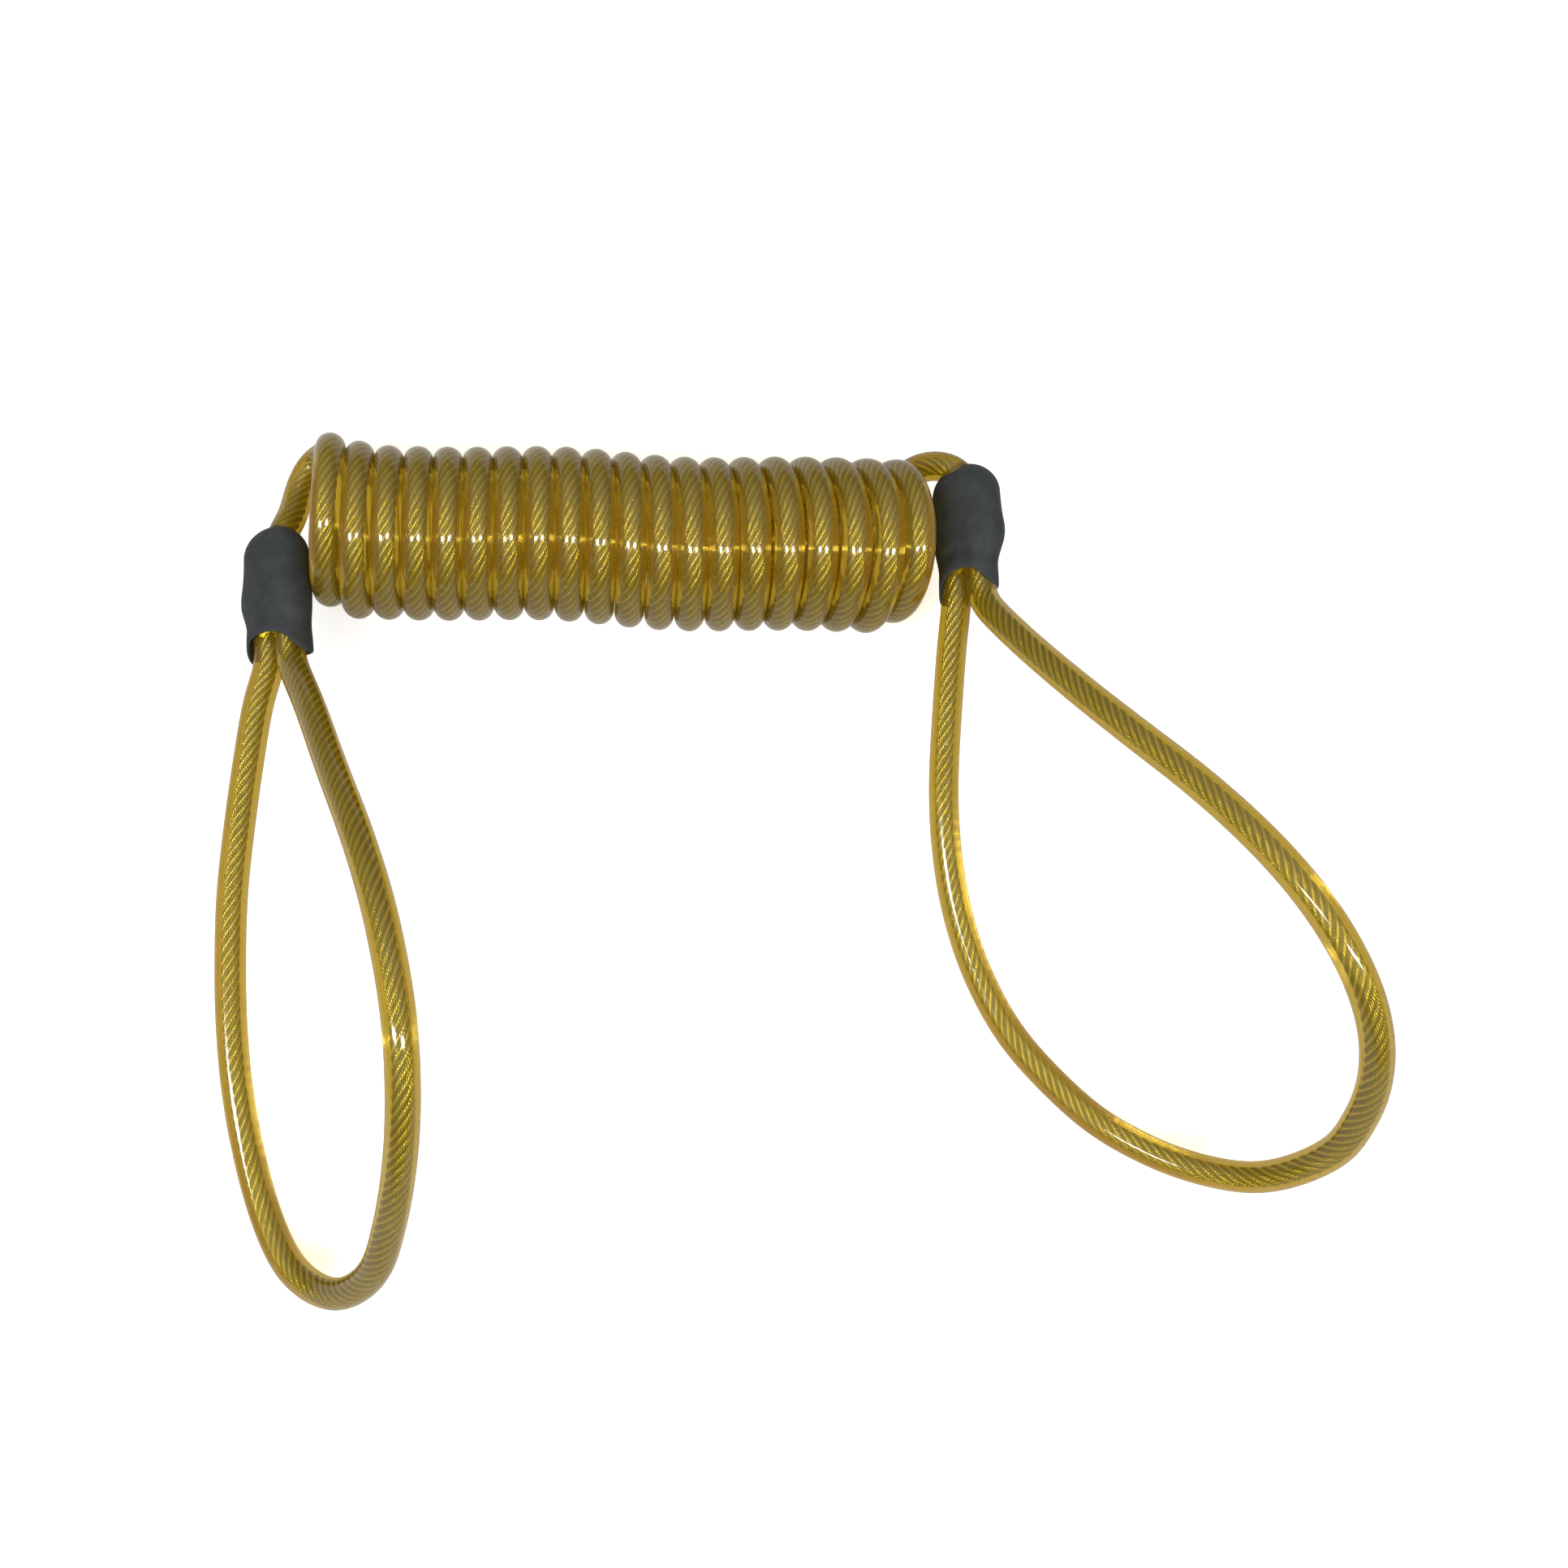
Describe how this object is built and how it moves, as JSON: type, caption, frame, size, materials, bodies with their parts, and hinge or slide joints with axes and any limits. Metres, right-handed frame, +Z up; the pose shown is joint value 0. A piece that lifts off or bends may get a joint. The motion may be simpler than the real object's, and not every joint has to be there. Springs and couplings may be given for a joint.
{
  "type": "coiled restrictor cable",
  "caption": "Springy coil of jacketed wire rope with a crimped eye at each end under a soft boot, for tethering a sash or shutter so that it opens only so far.",
  "frame": {"origin": "under the middle of the bounding box, on the surface that the cable lies on", "axes": "+X along the coil from the left eye to the right eye, +Z up, the eyes lie towards -Y"},
  "size_m": [0.1495, 0.1184, 0.045],
  "materials": {
    "amber_jacket": "glossy translucent amber-yellow plastic over steel wire rope, whose strands show through",
    "black_boot": "matt charcoal-black soft vinyl, lightly grained",
    "ferrule_aluminium": "pressed aluminium, dull",
    "rope_steel": "bright stranded steel wire rope"
  },
  "bodies": {
    "coil_start": {"coil_turn_01": "amber_jacket", "lead_left": "amber_jacket"},
    "turn_02": {"coil_turn_02": "amber_jacket"},
    "turn_03": {"coil_turn_03": "amber_jacket"},
    "turn_04": {"coil_turn_04": "amber_jacket"},
    "turn_05": {"coil_turn_05": "amber_jacket"},
    "turn_06": {"coil_turn_06": "amber_jacket"},
    "turn_07": {"coil_turn_07": "amber_jacket"},
    "turn_08": {"coil_turn_08": "amber_jacket"},
    "turn_09": {"coil_turn_09": "amber_jacket"},
    "turn_10": {"coil_turn_10": "amber_jacket"},
    "turn_11": {"coil_turn_11": "amber_jacket"},
    "turn_12": {"coil_turn_12": "amber_jacket"},
    "turn_13": {"coil_turn_13": "amber_jacket"},
    "turn_14": {"coil_turn_14": "amber_jacket"},
    "turn_15": {"coil_turn_15": "amber_jacket"},
    "turn_16": {"coil_turn_16": "amber_jacket"},
    "turn_17": {"coil_turn_17": "amber_jacket"},
    "turn_18": {"coil_turn_18": "amber_jacket"},
    "turn_19": {"coil_turn_19": "amber_jacket"},
    "coil_finish": {"coil_turn_20": "amber_jacket", "lead_right": "amber_jacket"},
    "left_eye": {"cap_left": "black_boot", "ferrule_left": "ferrule_aluminium", "rope_left": "rope_steel", "rope_end_left": "rope_steel", "loop_left": "amber_jacket"},
    "right_eye": {"cap_right": "black_boot", "ferrule_right": "ferrule_aluminium", "rope_right": "rope_steel", "rope_end_right": "rope_steel", "loop_right": "amber_jacket"}
  },
  "joints": [
    {"name": "coil_stretch", "type": "slide", "parent": "coil_start", "child": "coil_finish", "axis": [1, 0, 0], "range_m": [0, 0.3], "stiffness_N_per_m": 12},
    {"name": "turn_02_slide", "type": "slide", "parent": "coil_start", "child": "turn_02", "axis": [1, 0, 0], "range_m": [0, 0.0158]},
    {"name": "turn_03_slide", "type": "slide", "parent": "coil_start", "child": "turn_03", "axis": [1, 0, 0], "range_m": [0, 0.03159]},
    {"name": "turn_04_slide", "type": "slide", "parent": "coil_start", "child": "turn_04", "axis": [1, 0, 0], "range_m": [0, 0.04738]},
    {"name": "turn_05_slide", "type": "slide", "parent": "coil_start", "child": "turn_05", "axis": [1, 0, 0], "range_m": [0, 0.06317]},
    {"name": "turn_06_slide", "type": "slide", "parent": "coil_start", "child": "turn_06", "axis": [1, 0, 0], "range_m": [0, 0.07896]},
    {"name": "turn_07_slide", "type": "slide", "parent": "coil_start", "child": "turn_07", "axis": [1, 0, 0], "range_m": [0, 0.09475]},
    {"name": "turn_08_slide", "type": "slide", "parent": "coil_start", "child": "turn_08", "axis": [1, 0, 0], "range_m": [0, 0.11054]},
    {"name": "turn_09_slide", "type": "slide", "parent": "coil_start", "child": "turn_09", "axis": [1, 0, 0], "range_m": [0, 0.12633]},
    {"name": "turn_10_slide", "type": "slide", "parent": "coil_start", "child": "turn_10", "axis": [1, 0, 0], "range_m": [0, 0.14212]},
    {"name": "turn_11_slide", "type": "slide", "parent": "coil_start", "child": "turn_11", "axis": [1, 0, 0], "range_m": [0, 0.1579]},
    {"name": "turn_12_slide", "type": "slide", "parent": "coil_start", "child": "turn_12", "axis": [1, 0, 0], "range_m": [0, 0.17369]},
    {"name": "turn_13_slide", "type": "slide", "parent": "coil_start", "child": "turn_13", "axis": [1, 0, 0], "range_m": [0, 0.18948]},
    {"name": "turn_14_slide", "type": "slide", "parent": "coil_start", "child": "turn_14", "axis": [1, 0, 0], "range_m": [0, 0.20527]},
    {"name": "turn_15_slide", "type": "slide", "parent": "coil_start", "child": "turn_15", "axis": [1, 0, 0], "range_m": [0, 0.22106]},
    {"name": "turn_16_slide", "type": "slide", "parent": "coil_start", "child": "turn_16", "axis": [1, 0, 0], "range_m": [0, 0.23685]},
    {"name": "turn_17_slide", "type": "slide", "parent": "coil_start", "child": "turn_17", "axis": [1, 0, 0], "range_m": [0, 0.25264]},
    {"name": "turn_18_slide", "type": "slide", "parent": "coil_start", "child": "turn_18", "axis": [1, 0, 0], "range_m": [0, 0.26843]},
    {"name": "turn_19_slide", "type": "slide", "parent": "coil_start", "child": "turn_19", "axis": [1, 0, 0], "range_m": [0, 0.28422]},
    {"name": "left_eye_swing", "type": "hinge", "parent": "coil_start", "child": "left_eye", "pos_m": [-0.0685, 0.0542, 0.009], "axis": [0, 0, 1], "range_deg": [-90, 0], "stiffness_Nm_per_rad": 0.02, "deforming": ["lead_left"]},
    {"name": "right_eye_swing", "type": "hinge", "parent": "coil_finish", "child": "right_eye", "pos_m": [0.026, 0.0577, 0.012], "axis": [0, 0, 1], "range_deg": [0, 90], "stiffness_Nm_per_rad": 0.02, "deforming": ["lead_right"]}
  ],
  "couplings": [
    {"joint": "turn_02_slide", "follows": "coil_stretch", "ratio": 0.052632},
    {"joint": "turn_03_slide", "follows": "coil_stretch", "ratio": 0.10526},
    {"joint": "turn_04_slide", "follows": "coil_stretch", "ratio": 0.15789},
    {"joint": "turn_05_slide", "follows": "coil_stretch", "ratio": 0.21053},
    {"joint": "turn_06_slide", "follows": "coil_stretch", "ratio": 0.26316},
    {"joint": "turn_07_slide", "follows": "coil_stretch", "ratio": 0.31579},
    {"joint": "turn_08_slide", "follows": "coil_stretch", "ratio": 0.36842},
    {"joint": "turn_09_slide", "follows": "coil_stretch", "ratio": 0.42105},
    {"joint": "turn_10_slide", "follows": "coil_stretch", "ratio": 0.47368},
    {"joint": "turn_11_slide", "follows": "coil_stretch", "ratio": 0.52632},
    {"joint": "turn_12_slide", "follows": "coil_stretch", "ratio": 0.57895},
    {"joint": "turn_13_slide", "follows": "coil_stretch", "ratio": 0.63158},
    {"joint": "turn_14_slide", "follows": "coil_stretch", "ratio": 0.68421},
    {"joint": "turn_15_slide", "follows": "coil_stretch", "ratio": 0.73684},
    {"joint": "turn_16_slide", "follows": "coil_stretch", "ratio": 0.78947},
    {"joint": "turn_17_slide", "follows": "coil_stretch", "ratio": 0.84211},
    {"joint": "turn_18_slide", "follows": "coil_stretch", "ratio": 0.89474},
    {"joint": "turn_19_slide", "follows": "coil_stretch", "ratio": 0.94737}
  ]
}
